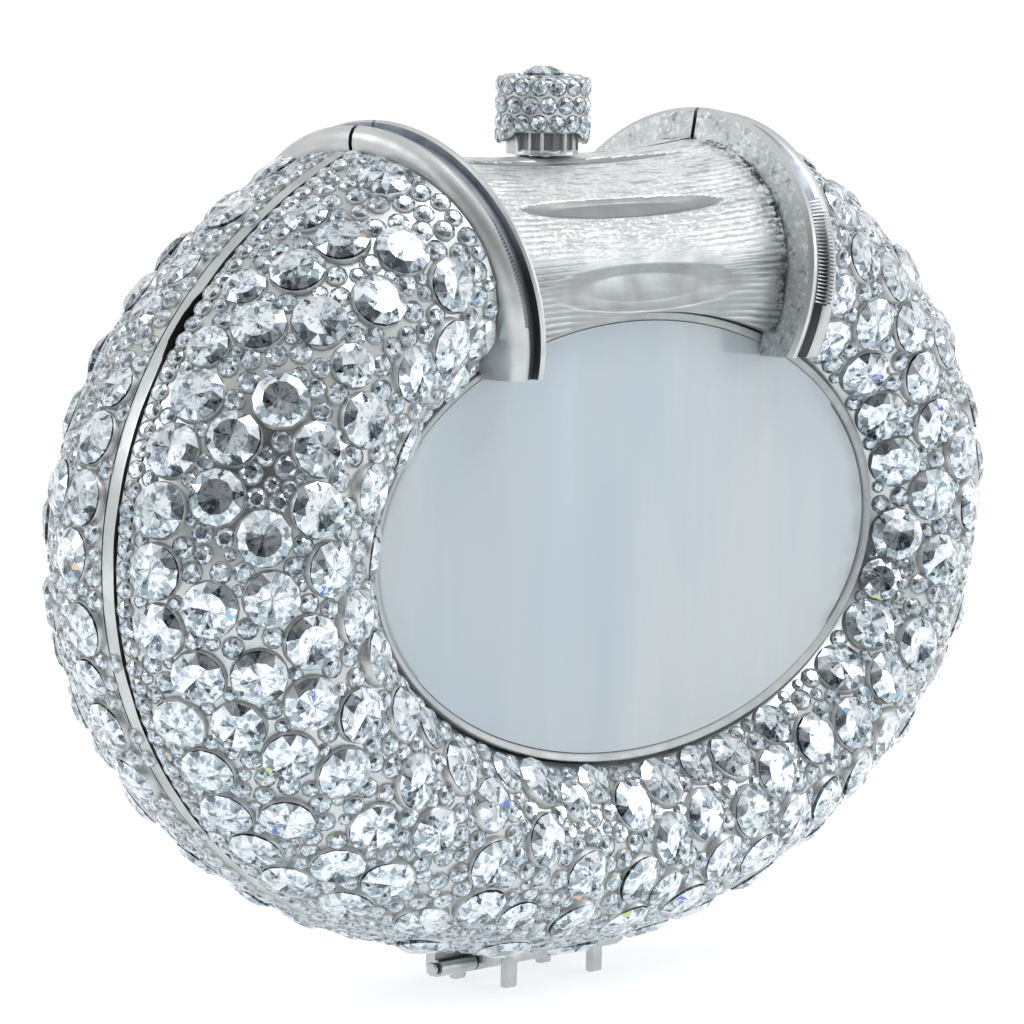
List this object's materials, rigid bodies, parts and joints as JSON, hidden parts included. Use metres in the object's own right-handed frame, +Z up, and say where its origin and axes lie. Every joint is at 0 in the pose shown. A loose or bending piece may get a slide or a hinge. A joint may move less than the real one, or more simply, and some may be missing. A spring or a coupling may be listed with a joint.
{
  "type": "evening clutch",
  "caption": "Hard oval clutch of hinged half shells paved with crystals round pearly panels, with a metal spool on top and a push knob.",
  "frame": {"origin": "centre of the surface that the four feet stand on, under the middle of the closed case", "axes": "+X along the oval's long way, to the right seen from the front; -Y out of the front panel; +Z up towards the knob"},
  "size_m": [0.1621, 0.0492, 0.1221],
  "materials": {
    "crystal_bed": "clear crystals set in silver plate",
    "cast_metal": "silver plate over a hammered cast surface",
    "shell_metal": "satin plate",
    "polished_metal": "polished silver plate",
    "pearl": "glossy pearly resin with soft upright streaks",
    "lining": "grey satin on card"
  },
  "bodies": {
    "back_half": {"back_crystal_bed": "crystal_bed", "back_shell": "shell_metal", "back_rim": "polished_metal", "back_lining": "lining", "back_panel": "pearl", "back_bezel": "polished_metal", "back_spool": "cast_metal", "back_left_flange": "polished_metal", "back_right_flange": "polished_metal", "back_left_foot": "polished_metal", "back_right_foot": "polished_metal", "back_knuckle_1": "polished_metal", "back_knuckle_3": "polished_metal", "back_knuckle_5": "polished_metal", "hinge_pin": "polished_metal", "knob_post": "polished_metal", "post_nut": "cast_metal", "return_spring": "polished_metal"},
    "front_half": {"front_crystal_bed": "crystal_bed", "front_shell": "shell_metal", "front_rim": "polished_metal", "front_lining": "lining", "front_panel": "pearl", "front_bezel": "polished_metal", "front_spool": "cast_metal", "front_left_flange": "polished_metal", "front_right_flange": "polished_metal", "front_left_foot": "polished_metal", "front_right_foot": "polished_metal", "front_knuckle_2": "polished_metal", "front_knuckle_4": "polished_metal", "catch_plate": "cast_metal"},
    "knob": {"knob_cap": "crystal_bed", "knob_crystal": "crystal_bed", "plunger": "polished_metal", "latch_hook": "cast_metal"}
  },
  "joints": [
    {"name": "case_opening", "type": "hinge", "parent": "back_half", "child": "front_half", "pos_m": [0, 0, 0.0031], "axis": [1, 0, 0], "range_deg": [0, 90]},
    {"name": "knob_press", "type": "slide", "parent": "back_half", "child": "knob", "axis": [0, 0, 1], "range_m": [-0.0012, 0], "stiffness_N_per_m": 600, "springref_m": 0.001}
  ]
}
